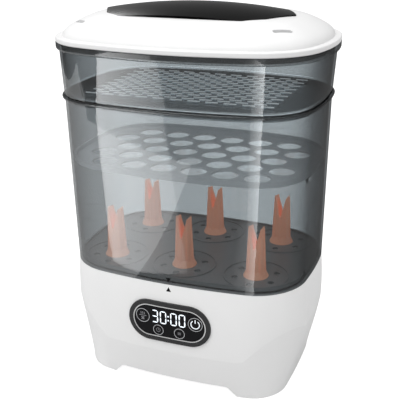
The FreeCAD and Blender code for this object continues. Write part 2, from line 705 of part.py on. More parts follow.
def make_power_parts():
    board = block("power_sheet", (-104, -38, 28), (78, 76, 1.6))
    standoffs = [post("standoff", (x, y, "cover_level + cover_thickness"), 3, "9.5")
                 for x in (-98, -32) for y in (-32, 32)]
    yield fuse("power_board", board, *standoffs)
    yield block("power_relay", (-94, -30, 29.8), (20, 16, 16))
    winding = block("transformer_winding", (-64, -30, 29.8), (24, 20, 18))
    core = block("transformer_core", (-67, -25, 33), (30, 10, 12))
    yield fuse("transformer", winding, core)
    yield group("capacitors", *[post("capacitor", (x, 20, 29.8), 6, 20) for x in (-90, -74)])
    yield block("mains_terminal", (-58, 12, 29.8), (26, 14, 12))


# ---------------------------------------------------------------- chamber

def make_drum_shell():
    body = new_body("drum_shell")
    loft(body, [oval(body, "drum_foot"), oval(body, "drum_top")])
    bead = pad(body, oval(body, "bead"), "bead_height")
    doc.recompute()
    edges = band_edges(bead.Shape, value("bead_level"), value("bead_level + bead_height"))
    round_edges(body, bead, [name for name, level in edges], "1.9")
    loft(body, [oval(body, "drum_foot", "shell_wall", "ledge_top"),
                oval(body, "drum_top", "shell_wall", "bead_level + bead_height + 1")],
         "PartDesign::SubtractiveLoft")
    pocket(body, oval(body, "drum_foot", "ledge_inset", "ledge_top"), 10)
    pad(body, oval(body, "drum_foot", "spigot_inset", "drum_foot_level + 0.5",
                   inner="spigot_inset + spigot_wall"),
        "spigot_depth + 0.5", down=True)
    lugs = [block("tray_lug", (x, y, "tray_level - 5.6"), (5.4, 10, 5.3))
            for x in (128.6, -134.0) for y in (-36, 26)]
    return fuse("drum_shell_solid", body, *lugs), "drum_shell"


def make_rack_floor():
    body = new_body("rack_sheet")
    pad(body, oval(body, "rack"), "peg_base - rack_level")
    pad(body, oval(body, "rack", inner="2.2"), 4.5)
    rings = []
    for x in (-1, 0, 1):
        for y in (-1, 1):
            spot = (f"{x} * peg_across", f"{y} * peg_along", "peg_base - 0.5")
            rings.append(cut("rest_ring", post("rest_outer", spot, 35, 1.6),
                             post("rest_inner", (spot[0], spot[1], 130), 33.6, 10)))
    steam = []
    for x in (-1, 0, 1):
        for y in (-1, 1):
            for step in range(6):
                angle = math.radians(30 + 60 * step)
                steam.append(post("steam_hole", (f"{x} * peg_across + {23 * math.cos(angle):.3f}",
                                                 f"{y} * peg_along + {23 * math.sin(angle):.3f}", 125),
                                  3.5, 15))
    notches = [block("lug_notch", (x, y, 125), (8, 14, 20)) for x in (127.2, -135.2) for y in (-38, 24)]
    return cut("rack_floor", fuse("rack_solid", body, *rings), *steam, *notches)


def make_pegs():
    """Hollow, finned bottle pegs with a deep notch across the top."""
    for row, y in (("front", -1), ("rear", 1)):
        for spot, x in (("left", -1), ("middle", 0), ("right", 1)):
            name = f"peg_{row}_{spot}"
            at = (f"{x} * peg_across", f"{y} * peg_along")
            foot = taper(name + "_flare", (*at, "peg_base"), "peg_foot_radius", "peg_body_radius", 7)
            stem = taper(name + "_stem", (*at, "peg_base"), "peg_body_radius", "peg_top_radius", "peg_height")
            envelope = taper(name + "_reach", (*at, "peg_base"), "peg_body_radius + 1.1",
                             "peg_top_radius + 0.9", "peg_height")
            fins = []
            for turn in (0, 45, 90, 135):
                fin = block(f"{name}_fin_{turn}", (0, 0, "peg_base"), (28, 1.8, "peg_height"))
                fin.Placement.Rotation = FreeCAD.Rotation(UP, turn)
                angle = math.radians(turn)
                place(fin, f"{at[0]} + {-14 * math.cos(angle) + 0.9 * math.sin(angle):.4f}",
                      f"{at[1]} + {-14 * math.sin(angle) - 0.9 * math.cos(angle):.4f}", "peg_base")
                fins.append(fin)
            ribs = common(name + "_ribs", fuse(name + "_fins", *fins), envelope)
            bore = post(name + "_bore", (*at, "peg_base + 3"), "peg_bore", "peg_height")
            notch = doc.addObject("Part::Wedge", name + "_notch")
            bind(notch, Xmin=-0.8, Xmax=0.8, Ymin=0, Ymax="peg_notch_depth + 1", Zmin=-20, Zmax=20,
                 X2min=-6.2, X2max=6.2, Z2min=-20, Z2max=20)
            notch.Placement.Rotation = FreeCAD.Rotation(FreeCAD.Vector(1, 0, 0), 90)
            place(notch, at[0], at[1], "peg_base + peg_height - peg_notch_depth")
            yield cut(name, fuse(name + "_solid", foot, stem, ribs), bore, notch)


def make_mid_tray():
    """A flat plate with round holes in staggered rows, inside a stiffening band."""
    body = new_body("mid_tray")
    pad(body, oval(body, "tray", level="tray_level"), 2.2)
    pad(body, oval(body, "tray", inner="2.2"), 6)
    holes = new_sketch(body, "tray_holes", "tray_level + 3")
    spots = [(column + 0.5, row) for row in (-2, 0, 2) for column in range(-3, 3)]
    spots += [(column, row) for row in (-1, 1) for column in range(-3, 4)]
    for number, (column, row) in enumerate(spots):
        centre = FreeCAD.Vector(column * value("hole_pitch"), row * value("hole_row"), 0)
        holes.addGeometry(Part.Circle(centre, UP, value("hole_radius")), False)
        if number:
            holes.addConstraint(Sketch("Equal", 0, number))
        else:
            dimension(holes, "Radius", 0, formula="hole_radius")
        dimension(holes, "DistanceX", -1, 1, number, 3, formula=f"{column} * hole_pitch")
        dimension(holes, "DistanceY", -1, 1, number, 3, formula=f"{row} * hole_row")
    pocket(body, holes, 8)
    return body


def make_upper_tier():
    """The upper basket: a slotted floor, tapering walls, a heavy rim and a spigot below."""
    body = new_body("upper_tier")
    loft(body, [oval(body, "tier_foot"), oval(body, "tier_top")])
    rim = pad(body, oval(body, "rim"), "tier_top_level - rim_level")
    doc.recompute()
    edges = band_edges(rim.Shape, value("rim_level"), value("tier_top_level"))
    lower = round_edges(body, rim, [name for name, level in edges if level < value("rim_level + 1")], "2.4")
    doc.recompute()
    loft(body, [oval(body, "tier_foot", "shell_wall", "tier_floor"),
                oval(body, "tier_top", "shell_wall", "tier_top_level + 1")],
         "PartDesign::SubtractiveLoft")
    pad(body, oval(body, "tier_foot", "shell_wall + fit_gap + 0.3", "tier_foot_level + 0.5",
                   inner="shell_wall + fit_gap + 2.3"), "tier_spigot + 0.5", down=True)
    slots = []
    for row in range(-8, 9):
        for column in range(-5, 6):
            shift = 0 if row % 2 == 0 else 9.5
            if column == 5 and shift:
                continue
            slots.append(block("tier_slot", (-6.5 + 19 * column + shift, -1.4 + 8 * row, 310),
                               (13, 2.8, 12)))
    return cut("upper_tier_solid", body, *slots), "upper_tier"


# ---------------------------------------------------------------- lid

DOME = ["dome_base", "dome_low", "dome_mid", "dome_upper", "dome_high", "dome_top"]


def make_lid_shell():
    body = new_body("lid_blank")
    flange = pad(body, oval(body, "rim", level="flange_foot"), "dome_base_level - flange_foot")
    doc.recompute()
    edges = band_edges(flange.Shape, value("flange_foot"), value("dome_base_level"))
    round_edges(body, flange, [name for name, level in edges], "1.6")
    loft(body, [oval(body, section) for section in DOME])
    pad(body, oval(body, "tier_top", "shell_wall + fit_gap + 0.4", "flange_foot + 0.5",
                   inner="shell_wall + fit_gap + 2.4"), "lid_skirt + 0.5", down=True)
    hollow = new_body("lid_hollow")
    sections = [oval(hollow, "dome_base", "lid_wall", "flange_foot - 1")]
    sections += [oval(hollow, section, "lid_wall", f"{section}_level - lid_wall") for section in DOME]
    loft(hollow, sections)
    vents = []
    for side in (-1, 1):
        middle = block("vent_slot", ("0.5 * vent_width - 0.5 * vent_length", "-0.5 * vent_width", 370),
                       ("vent_length - vent_width", "vent_width", 40))
        ends = [post("vent_end", (f"{end} * (0.5 * vent_length - 0.5 * vent_width)", 0, 370),
                     "0.5 * vent_width", 40) for end in (-1, 1)]
        vent = fuse("vent", middle, *ends)
        vent.Placement.Rotation = FreeCAD.Rotation(UP, side * value("vent_turn"))
        vents.append(place(vent, f"{side} * vent_across", "-vent_along"))
    screw_ways = [post("screw_way", (x, y, 380), 1.6, 40) for x, y in CAP_SCREWS]
    return cut("lid_shell", body, hollow, *vents, *screw_ways)


CAP_SCREWS = [(-52, -18), (52, -18), (-52, 18), (52, 18)]


def make_lid_cap():
    """The gloss cap: a long lens-shaped outline with a crowned top, seated on the dome."""
    body = new_body("cap_blank")
    sketch = new_sketch(body, "cap_outline", "388")
    tip, shoulder, deep = value("cap_tip"), value("cap_shoulder"), value("cap_depth")
    points = [(-tip, 0), (-shoulder, -deep + 4), (0, -deep), (shoulder, -deep + 4), (tip, 0),
              (shoulder, deep - 4), (0, deep), (-shoulder, deep - 4)]
    vectors = [FreeCAD.Vector(x, y, 0) for x, y in points]
    sketch.addGeometry(Part.LineSegment(vectors[0], vectors[1]), False)
    sketch.addGeometry(Part.Arc(vectors[1], vectors[2], vectors[3]), False)
    sketch.addGeometry(Part.LineSegment(vectors[3], vectors[4]), False)
    sketch.addGeometry(Part.LineSegment(vectors[4], vectors[5]), False)
    sketch.addGeometry(Part.Arc(vectors[5], vectors[6], vectors[7]), False)
    sketch.addGeometry(Part.LineSegment(vectors[7], vectors[0]), False)
    run = pad(body, sketch, 24)
    doc.recompute()
    upright = [(f"Edge{number}", abs(edge.CenterOfMass.x)) for number, edge
               in enumerate(run.Shape.Edges, start=1) if edge.BoundBox.ZLength > 20]
    shoulders = round_edges(body, run, [name for name, x in upright if x < tip - 5], "34")
    doc.recompute()
    tips = [f"Edge{number}" for number, edge in enumerate(shoulders.Shape.Edges, start=1)
            if edge.BoundBox.ZLength > 20 and abs(edge.CenterOfMass.x) > tip - 1]
    round_edges(body, shoulders, tips, "5")
    crown = doc.addObject("Part::Torus", "cap_crown")
    bind(crown, Radius1="crown_ring", Radius2="crown_radius")
    crown.Placement.Rotation = FreeCAD.Rotation(FreeCAD.Vector(1, 0, 0), 90)
    place(crown, 0, 0, "crown_level - crown_ring - crown_radius")
    dome = shell_form("cap_seat", DOME)
    holes = [post("cap_pilot", (x, y, 380), 1.3, "403.5 - 380") for x, y in CAP_SCREWS]
    return cut("lid_cap", common("cap_solid", body, crown), dome, *holes)


def make_cap_screws():
    return group("cap_screws", *[screw(f"cap_screw_{number}", x, y, 395.6, 2, 5.2, 1.2, 2.6)
                                 for number, (x, y) in enumerate(CAP_SCREWS)])


# ---------------------------------------------------------------- the assembly

def collect():
    """Every sub-part with its node name."""
    for make in (make_base_housing, make_bottom_cover, make_bottom_screws, make_panel_bezel,
                 make_panel_trim, make_panel_lens, make_control_board, make_display_module,
                 make_key_switches, make_heating_plate, make_plate_seal, make_heater_element,
                 make_thermostat, make_thermal_fuse, make_blower_scroll, make_blower_cover,
                 make_fan_impeller, make_fan_motor, make_motor_shaft, make_air_duct,
                 make_ptc_heater, make_air_outlet, make_filter_element, make_filter_cover,
                 make_cord_gland, make_rack_floor,
                 make_mid_tray, make_lid_shell, make_lid_cap, make_cap_screws):
        yield make(), make.__name__.replace("make_", "")
    for make in (make_feet, make_keycaps, make_power_parts, make_pegs):
        for item in make():
            yield item, item.Name
    for make in (make_drum_shell, make_upper_tier):
        yield make()


nodes = list(collect())
doc.recompute()
for item in doc.Objects:
    if "Invalid" in item.State or "Error" in item.State:
        raise RuntimeError(f"{item.Name} failed: {item.State}")
os.makedirs("parts", exist_ok=True)
for item, node in nodes:
    item.Label = node
    if item.Shape.isNull() or not item.Shape.isValid():
        raise RuntimeError(f"{node} has no valid shape")
    item.Shape.exportStep(f"parts/{node}.step")
print(len(nodes), "nodes written")
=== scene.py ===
from math import cos, pi, radians, sin

import bmesh
import bpy
from mathutils import Euler, Matrix, Vector


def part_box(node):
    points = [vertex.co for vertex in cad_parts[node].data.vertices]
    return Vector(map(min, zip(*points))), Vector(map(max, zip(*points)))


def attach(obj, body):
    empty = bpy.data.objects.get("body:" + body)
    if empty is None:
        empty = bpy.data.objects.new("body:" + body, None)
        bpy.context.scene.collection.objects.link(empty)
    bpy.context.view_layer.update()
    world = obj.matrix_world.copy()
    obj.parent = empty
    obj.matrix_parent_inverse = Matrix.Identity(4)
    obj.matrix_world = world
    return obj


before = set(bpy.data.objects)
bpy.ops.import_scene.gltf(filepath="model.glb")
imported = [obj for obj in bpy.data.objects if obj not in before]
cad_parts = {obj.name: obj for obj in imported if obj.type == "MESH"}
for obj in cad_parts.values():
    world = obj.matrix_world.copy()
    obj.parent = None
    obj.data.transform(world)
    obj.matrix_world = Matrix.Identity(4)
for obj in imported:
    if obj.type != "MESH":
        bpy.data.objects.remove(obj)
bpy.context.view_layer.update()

MM = 0.001

# ---- Camera and white studio.
# The camera stands to the right of the front and looks down a little. A soft white dome,
# brightest overhead, and a level floor surround the steriliser. Both are plain white to the
# camera, and dimmer to the light that bounces about the steriliser.
scene = bpy.context.scene
scene.view_settings.view_transform = "Standard"
scene.cycles.transparent_max_bounces = 32

CAMERA_AZIMUTH = radians(21.84)
CAMERA_HEIGHT_ANGLE = radians(21.72)
CAMERA_ROLL = radians(-0.66)
CAMERA_DISTANCE = 0.879
CAMERA_LENS = 70.07
CAMERA_SHIFT = (-0.0006, 0.0274)
LOOKED_AT = Vector((0, 0, 0.1774))

camera_data = bpy.data.cameras.new("camera")
camera_data.lens = CAMERA_LENS
camera_data.shift_x, camera_data.shift_y = CAMERA_SHIFT
camera = bpy.data.objects.new("camera", camera_data)
camera.location = LOOKED_AT + CAMERA_DISTANCE * Vector((
    sin(CAMERA_AZIMUTH) * cos(CAMERA_HEIGHT_ANGLE),
    -cos(CAMERA_AZIMUTH) * cos(CAMERA_HEIGHT_ANGLE),
    sin(CAMERA_HEIGHT_ANGLE)))
aim = Euler((pi / 2 - CAMERA_HEIGHT_ANGLE, 0, CAMERA_AZIMUTH)).to_matrix()
camera.rotation_euler = (aim @ Matrix.Rotation(CAMERA_ROLL, 3, "Z")).to_euler()
scene.collection.objects.link(camera)
scene.camera = camera


def add_node(tree, kind, **settings):
    """A shader node; settings are its properties or, by name, its sockets' values."""
    node = tree.nodes.new(kind)
    for name, setting in settings.items():
        socket = name.replace("_", " ")
        if socket in node.inputs:
            node.inputs[socket].default_value = setting
        else:
            setattr(node, name, setting)
    return node


def chain(tree, *steps):
    """Math nodes one after another: each step is (operation, number); returns first and last."""
    nodes = []
    for operation, number in steps:
        node = add_node(tree, "ShaderNodeMath", operation=operation)
        node.inputs[1].default_value = number
        if nodes:
            tree.links.new(nodes[-1].outputs[0], node.inputs[0])
        nodes.append(node)
    return nodes[0], nodes[-1]


HORIZON_LIGHT = 0.45
OVERHEAD_LIGHT = 1.15


def white_surround():
    """The dome: its strength grows with the square of the height looked at."""
    world = bpy.data.worlds.new("white_surround")
    world.use_nodes = True
    tree = world.node_tree
    link = tree.links.new
    direction = add_node(tree, "ShaderNodeTexCoord")
    height = add_node(tree, "ShaderNodeSeparateXYZ")
    upward, strength = chain(tree, ("MAXIMUM", 0), ("POWER", 2), ("MULTIPLY", OVERHEAD_LIGHT),
                             ("ADD", HORIZON_LIGHT))
    path = add_node(tree, "ShaderNodeLightPath")
    brightest = add_node(tree, "ShaderNodeMath", operation="MAXIMUM")
    background = tree.nodes["Background"]
    background.inputs["Color"].default_value = (1, 1, 1, 1)
    link(direction.outputs["Generated"], height.inputs["Vector"])
    link(height.outputs["Z"], upward.inputs[0])
    link(strength.outputs[0], brightest.inputs[0])
    link(path.outputs["Is Camera Ray"], brightest.inputs[1])
    link(brightest.outputs[0], background.inputs["Strength"])
    return world


scene.world = white_surround()

FLOOR_SIZE = 9
FLOOR_LIFT = 0.95
FLOOR_SEEN = (0.3, 0.3, 0.3, 1)
FLOOR_BOUNCING = (0.58, 0.58, 0.58, 1)


def floor_finish():
    """Near white to the camera, with soft contact shadows; a mid grey to bounced light."""
    material = bpy.data.materials.new("studio_floor")
    material.use_nodes = True
    tree = material.node_tree
    tree.nodes.clear()
    link = tree.links.new
    seen = add_node(tree, "ShaderNodeBsdfDiffuse", Color=FLOOR_SEEN)
    lift = add_node(tree, "ShaderNodeEmission", Color=(1, 1, 1, 1), Strength=FLOOR_LIFT)
    lifted = add_node(tree, "ShaderNodeAddShader")
    calm = add_node(tree, "ShaderNodeBsdfDiffuse", Color=FLOOR_BOUNCING)
    path = add_node(tree, "ShaderNodeLightPath")
    bounced = add_node(tree, "ShaderNodeMath", operation="MAXIMUM")
    either = add_node(tree, "ShaderNodeMixShader")
    output = add_node(tree, "ShaderNodeOutputMaterial")
    link(path.outputs["Is Diffuse Ray"], bounced.inputs[0])
    link(path.outputs["Is Glossy Ray"], bounced.inputs[1])
    link(seen.outputs["BSDF"], lifted.inputs[0])
    link(lift.outputs["Emission"], lifted.inputs[1])
    link(bounced.outputs[0], either.inputs["Fac"])
    link(lifted.outputs["Shader"], either.inputs[1])
    link(calm.outputs["BSDF"], either.inputs[2])
    link(either.outputs["Shader"], output.inputs["Surface"])
    return material


form = bmesh.new()
bmesh.ops.create_grid(form, x_segments=1, y_segments=1, size=FLOOR_SIZE)
floor_mesh = bpy.data.meshes.new("studio_floor")
form.to_mesh(floor_mesh)
form.free()
floor_mesh.materials.append(floor_finish())
floor = bpy.data.objects.new("studio_floor", floor_mesh)
scene.collection.objects.link(floor)


def soft_lamp(name, place, target, width, height, radiance):
    """A rectangular lamp of an even brightness, turned to a target."""
    lamp_data = bpy.data.lights.new(name, "AREA")
    lamp_data.shape = "RECTANGLE"
    lamp_data.size = width
    lamp_data.size_y = height
    lamp_data.energy = radiance * pi * width * height
    lamp = bpy.data.objects.new(name, lamp_data)
    lamp.location = place
    lamp.rotation_euler = (Vector(place) - Vector(target)).to_track_quat("Z", "Y").to_euler()
    scene.collection.objects.link(lamp)
    return lamp


OVERHEAD_SIDE = 1.1
soft_lamp("overhead_softbox", (-0.45, -0.8, 1.6), (0, 0, 0.2), OVERHEAD_SIDE, OVERHEAD_SIDE,
          radiance=2.6)


def mirrored_only(lamp, *names):
    """Lets a lamp show only as a reflection in the named pieces."""
    lamp.visible_camera = lamp.visible_diffuse = lamp.visible_transmission = False
    receivers = bpy.data.collections.new(lamp.name + "_receivers")
    for name in names:
        receivers.objects.link(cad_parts[name])
    lamp.light_linking.receiver_collection = receivers


# A lamp behind on the left shows only as the soft sheen on the black lid cap.
SHEEN_SIDE = 0.5
mirrored_only(soft_lamp("cap_sheen_lamp", (-1.45, 1.5, 1.55), (0, 0, 0.4), SHEEN_SIDE, SHEEN_SIDE,
                        radiance=60), "lid_cap")


# ---- Tall reflector panels.
# Two bright strips stand before the front and show only as reflections in the smoked walls,
# one crisp on its left and the other crisp on its right, both fading towards the middle.
REFLECTOR_DISTANCE = 0.30
REFLECTOR_FOOT, REFLECTOR_TOP = 0.002, 0.33
FOOT_SHARE, TOP_SHARE = 0.6, 1.15


def reflector(name, left, right, lean, radiance, fade_left):
    """A strip lamp facing the front, dimmer at its foot, seen only in the smoked walls."""
    width, height = right - left, REFLECTOR_TOP - REFLECTOR_FOOT
    lamp = soft_lamp(name, (0, 0, 0), (0, 1, 0), width, height, radiance)
    lamp.location = ((left + right) / 2, -REFLECTOR_DISTANCE, (REFLECTOR_FOOT + REFLECTOR_TOP) / 2)
    lamp.rotation_euler = (Matrix.Rotation(lean, 3, "Y") @ Euler((pi / 2, 0, 0)).to_matrix()).to_euler()
    mirrored_only(lamp, "drum_shell", "upper_tier")
    lamp.data.use_nodes = True
    tree = lamp.data.node_tree
    across = add_node(tree, "ShaderNodeNewGeometry")
    split = add_node(tree, "ShaderNodeSeparateXYZ")
    dim_edge, bright_edge, dimmest = (0.0, 0.9, 0.0) if fade_left else (1.0, 0.0, 0.25)
    fade = add_node(tree, "ShaderNodeMapRange", From_Min=dim_edge, From_Max=bright_edge, To_Min=dimmest)
    tree.links.new(across.outputs["Parametric"], split.inputs["Vector"])
    tree.links.new(split.outputs["X"], fade.inputs["Value"])
    rising = add_node(tree, "ShaderNodeMapRange", To_Min=FOOT_SHARE, To_Max=TOP_SHARE)
    both = add_node(tree, "ShaderNodeMath", operation="MULTIPLY")
    tree.links.new(split.outputs["Y"], rising.inputs["Value"])
    tree.links.new(fade.outputs["Result"], both.inputs[0])
    tree.links.new(rising.outputs["Result"], both.inputs[1])
    tree.links.new(both.outputs[0], tree.nodes["Emission"].inputs["Strength"])


reflector("left_reflector", -0.284, -0.080, lean=radians(-10.5), radiance=7.4, fade_left=False)
reflector("right_reflector", 0.070, 0.181, lean=radians(11.5), radiance=6.0, fade_left=True)

# A white card lies on the floor to the left, and lightens the walls that mirror it.
CARD_PLACE = Vector((-0.835, 0.15, 0.004))
mirrored_only(soft_lamp("left_floor_card", CARD_PLACE, CARD_PLACE + Vector((0, 0, 1)), 1.33, 1.8,
                        radiance=2.2), "drum_shell", "upper_tier")


# ---- Base housing.
# One injection-moulded white ABS shell with a soft gloss and a fine spark-eroded grain.
def new_material(name):
    """A material with its node tree and its principled shader."""
    material = bpy.data.materials.new(name)
    material.use_nodes = True
    tree = material.node_tree
    return material, tree, tree.nodes["Principled BSDF"]


def moulded_plastic(name, colour, roughness, grain=0.04, grain_size=0.0011, specular=0.5):
    """Moulded plastic: a fine grain, slow gloss variation and a trace of colour drift."""
    material, tree, shader = new_material(name)
    link = tree.links.new
    place = add_node(tree, "ShaderNodeTexCoord")
    drift = add_node(tree, "ShaderNodeTexNoise", Scale=11.0, Detail=3.0)
    fine = add_node(tree, "ShaderNodeTexNoise", Scale=1 / grain_size, Detail=2.0)
    gloss = add_node(tree, "ShaderNodeMapRange", To_Min=roughness * 0.85, To_Max=roughness * 1.15)
    tint = add_node(tree, "ShaderNodeMix", data_type="RGBA")
    tint.inputs["A"].default_value = (*[0.97 * c for c in colour], 1)
    tint.inputs["B"].default_value = (*[min(1.03 * c, 1) for c in colour], 1)
    bump = add_node(tree, "ShaderNodeBump", Strength=grain, Distance=0.0002)
    link(place.outputs["Object"], drift.inputs["Vector"])
    link(place.outputs["Object"], fine.inputs["Vector"])
    link(drift.outputs["Fac"], gloss.inputs["Value"])
    link(gloss.outputs["Result"], shader.inputs["Roughness"])
    link(drift.outputs["Fac"], tint.inputs["Factor"])
    link(tint.outputs["Result"], shader.inputs["Base Color"])
    link(fine.outputs["Fac"], bump.inputs["Height"])
    link(bump.outputs["Normal"], shader.inputs["Normal"])
    shader.inputs["Specular IOR Level"].default_value = specular
    return material


def dress(material, *names):
    """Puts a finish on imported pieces."""
    for name in names:
        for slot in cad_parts[name].material_slots:
            slot.material = material


white_plastic = moulded_plastic("white_plastic", (0.87, 0.87, 0.87), 0.36, specular=0.35)
dress(white_plastic, "base_housing", "filter_cover")


# ---- Alignment arrows.
# Small printed triangles: one points up on the base, one points down on the chamber, so that
# the two are set together the right way round.
AHEAD = -0.3


def front_of(node, x, z):
    """How far back the front of a piece is, met by a level line from well ahead of it."""
    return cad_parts[node].ray_cast((x, AHEAD, z), (0, 1, 0))[1].y


def thicken_forward(form, thickness):
    """Turns flat artwork into a thin raised print."""
    lifted = bmesh.ops.extrude_face_region(form, geom=form.faces[:])["geom"]
    bmesh.ops.translate(form, verts=[v for v in lifted if isinstance(v, bmesh.types.BMVert)],
                        vec=(0, -thickness, 0))


def finish_piece(name, form, material, body):
    """Makes a mesh an object that rides on a body."""
    bmesh.ops.recalc_face_normals(form, faces=form.faces)
    mesh = bpy.data.meshes.new(name)
    form.to_mesh(mesh)
    form.free()
    mesh.materials.append(material)
    piece = bpy.data.objects.new(name, mesh)
    scene.collection.objects.link(piece)
    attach(piece, body)
    return piece


ARROW_RADIUS = 3.3 * MM
INK_THICKNESS, INK_SUNK = 0.12 * MM, 0.05 * MM
print_black = moulded_plastic("black_print", (0.004, 0.004, 0.005), 0.6, specular=0.1)
for name, node, body, turn, middle in (("base_arrow", "base_housing", "base", 0, 122.2 * MM),
                                       ("drum_arrow", "drum_shell", "drum", pi, 134.6 * MM)):
    form = bmesh.new()
    bmesh.ops.create_circle(form, cap_ends=True, segments=3, radius=ARROW_RADIUS)
    bmesh.ops.rotate(form, verts=form.verts, matrix=Matrix.Rotation(pi / 2, 3, "X"))
    bmesh.ops.rotate(form, verts=form.verts, matrix=Matrix.Rotation(turn, 3, "Y"))
    thicken_forward(form, INK_THICKNESS)
    bmesh.ops.translate(form, verts=form.verts, vec=(0, 0, middle))
    for corner in form.verts:
        corner.co.y += front_of(node, corner.co.x, corner.co.z) + INK_SUNK
    finish_piece(name, form, print_black, body)


# ---- Underside, feet and hidden works.
# A grey bottom cover on screws, four rubber pads, and the steam and hot-air parts inside.
grey_plastic = moulded_plastic("grey_plastic", (0.28, 0.285, 0.29), 0.5, 0.1)
dress(grey_plastic, "bottom_cover", "blower_scroll", "blower_cover", "air_duct", "air_outlet", "cord_gland")
rubber = moulded_plastic("foot_rubber", (0.035, 0.035, 0.036), 0.75, 0.2, specular=0.25)
dress(rubber, *[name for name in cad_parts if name.startswith("foot_")])
dark_part = moulded_plastic("dark_part", (0.03, 0.03, 0.033), 0.5, 0.1)
dress(dark_part, "key_switches", "power_relay", "transformer", "capacitors", "thermal_fuse", "ptc_heater",
      "fan_impeller", "mains_terminal", "display_module")
silicone = moulded_plastic("silicone_seal", (0.62, 0.62, 0.6), 0.6, 0.05)
dress(silicone, "plate_seal")


def brushed_metal(name, colour, roughness, along, anisotropic=0.4):
    """Metal with fine parallel brush lines; along scales the grain's length on each axis."""
    material, tree, shader = new_material(name)
    link = tree.links.new
    place = add_node(tree, "ShaderNodeTexCoord")
    stretch = add_node(tree, "ShaderNodeMapping", Scale=along)
    lines = add_node(tree, "ShaderNodeTexNoise", Scale=1.0, Detail=4.0)
    gloss = add_node(tree, "ShaderNodeMapRange", To_Min=roughness * 0.7, To_Max=roughness * 1.3)
    tint = add_node(tree, "ShaderNodeMix", data_type="RGBA")
    tint.inputs["A"].default_value = (*[0.88 * c for c in colour], 1)
    tint.inputs["B"].default_value = (*colour, 1)
    bump = add_node(tree, "ShaderNodeBump", Strength=0.15, Distance=0.0001)
    link(place.outputs["Object"], stretch.inputs["Vector"])
    link(stretch.outputs["Vector"], lines.inputs["Vector"])
    link(lines.outputs["Fac"], gloss.inputs["Value"])
    link(gloss.outputs["Result"], shader.inputs["Roughness"])
    link(lines.outputs["Fac"], tint.inputs["Factor"])
    link(tint.outputs["Result"], shader.inputs["Base Color"])
    link(lines.outputs["Fac"], bump.inputs["Height"])
    link(bump.outputs["Normal"], shader.inputs["Normal"])
    shader.inputs["Metallic"].default_value = 1.0
    shader.inputs["Anisotropic"].default_value = anisotropic
    return material


steel = brushed_metal("brushed_steel", (0.62, 0.62, 0.63), 0.32, (60, 2500, 60))
dress(steel, "bottom_screws", "cap_screws", "heating_plate", "heater_element", "fan_motor", "motor_shaft",
      "thermostat")


def circuit_board():
    """Green solder mask with the copper lanes showing a shade lighter through it."""
    material, tree, shader = new_material("circuit_board")
    link = tree.links.new
    place = add_node(tree, "ShaderNodeTexCoord")
    tracks = add_node(tree, "ShaderNodeTexVoronoi", distance="MANHATTAN", Scale=220.0)
    lane = add_node(tree, "ShaderNodeMapRange", From_Min=0.35, From_Max=0.4)
    tint = add_node(tree, "ShaderNodeMix", data_type="RGBA")
    tint.inputs["A"].default_value = (0.01, 0.12, 0.035, 1)
    tint.inputs["B"].default_value = (0.02, 0.2, 0.06, 1)
    link(place.outputs["Object"], tracks.inputs["Vector"])
    link(tracks.outputs["Distance"], lane.inputs["Value"])
    link(lane.outputs["Result"], tint.inputs["Factor"])
    link(tint.outputs["Result"], shader.inputs["Base Color"])
    shader.inputs["Roughness"].default_value = 0.35
    return material


dress(circuit_board(), "control_board", "power_board")


def filter_fleece():
    """Matted off-white fibres, rough and a little fuzzy."""
    material, tree, shader = new_material("filter_fleece")
    link = tree.links.new
    place = add_node(tree, "ShaderNodeTexCoord")
    fibres = add_node(tree, "ShaderNodeTexNoise", Scale=1400.0, Detail=6.0)
    tint = add_node(tree, "ShaderNodeMix", data_type="RGBA")
    tint.inputs["A"].default_value = (0.5, 0.5, 0.48, 1)
    tint.inputs["B"].default_value = (0.82, 0.82, 0.79, 1)
    bump = add_node(tree, "ShaderNodeBump", Strength=0.6, Distance=0.0005)
    link(place.outputs["Object"], fibres.inputs["Vector"])
    link(fibres.outputs["Fac"], tint.inputs["Factor"])
    link(tint.outputs["Result"], shader.inputs["Base Color"])
    link(fibres.outputs["Fac"], bump.inputs["Height"])
    link(bump.outputs["Normal"], shader.inputs["Normal"])
    shader.inputs["Roughness"].default_value = 0.95
    shader.inputs["Sheen Weight"].default_value = 0.3
    return material


dress(filter_fleece(), "filter_element")


# ---- Key panel.
# A charcoal bezel, a satin silver line round a black lens, and four caps that follow the
# curve of the panel. The bezel is gloss ABS, and the lens and caps are polycarbonate.
charcoal = moulded_plastic("charcoal_gloss", (0.011, 0.011, 0.012), 0.2, 0.02, specular=0.5)
dress(charcoal, "panel_bezel")
lens_black = moulded_plastic("lens_black", (0.005, 0.005, 0.006), 0.2, 0.01, specular=0.12)
dress(lens_black, "panel_lens", "keycap_mode", "keycap_power", "keycap_left", "keycap_right")
satin_silver = brushed_metal("satin_silver", (0.8, 0.8, 0.8), 0.3, (900, 900, 60), 0.0)
dress(satin_silver, "panel_trim")

PANEL_CURVE = 650 * MM
LENS_FACE = 94.8 * MM
KEY_FACE = 94.9 * MM
PRINT_THICKNESS, PRINT_LIFT = 0.06 * MM, 0.02 * MM


def lay_on_panel(form, across, up, face):
    """Moves flat artwork from about the origin onto the curved panel."""
    bmesh.ops.translate(form, verts=form.verts, vec=(across, 0, up))
    for corner in form.verts:
        corner.co.y += corner.co.x ** 2 / (2 * PANEL_CURVE) - face - PRINT_LIFT


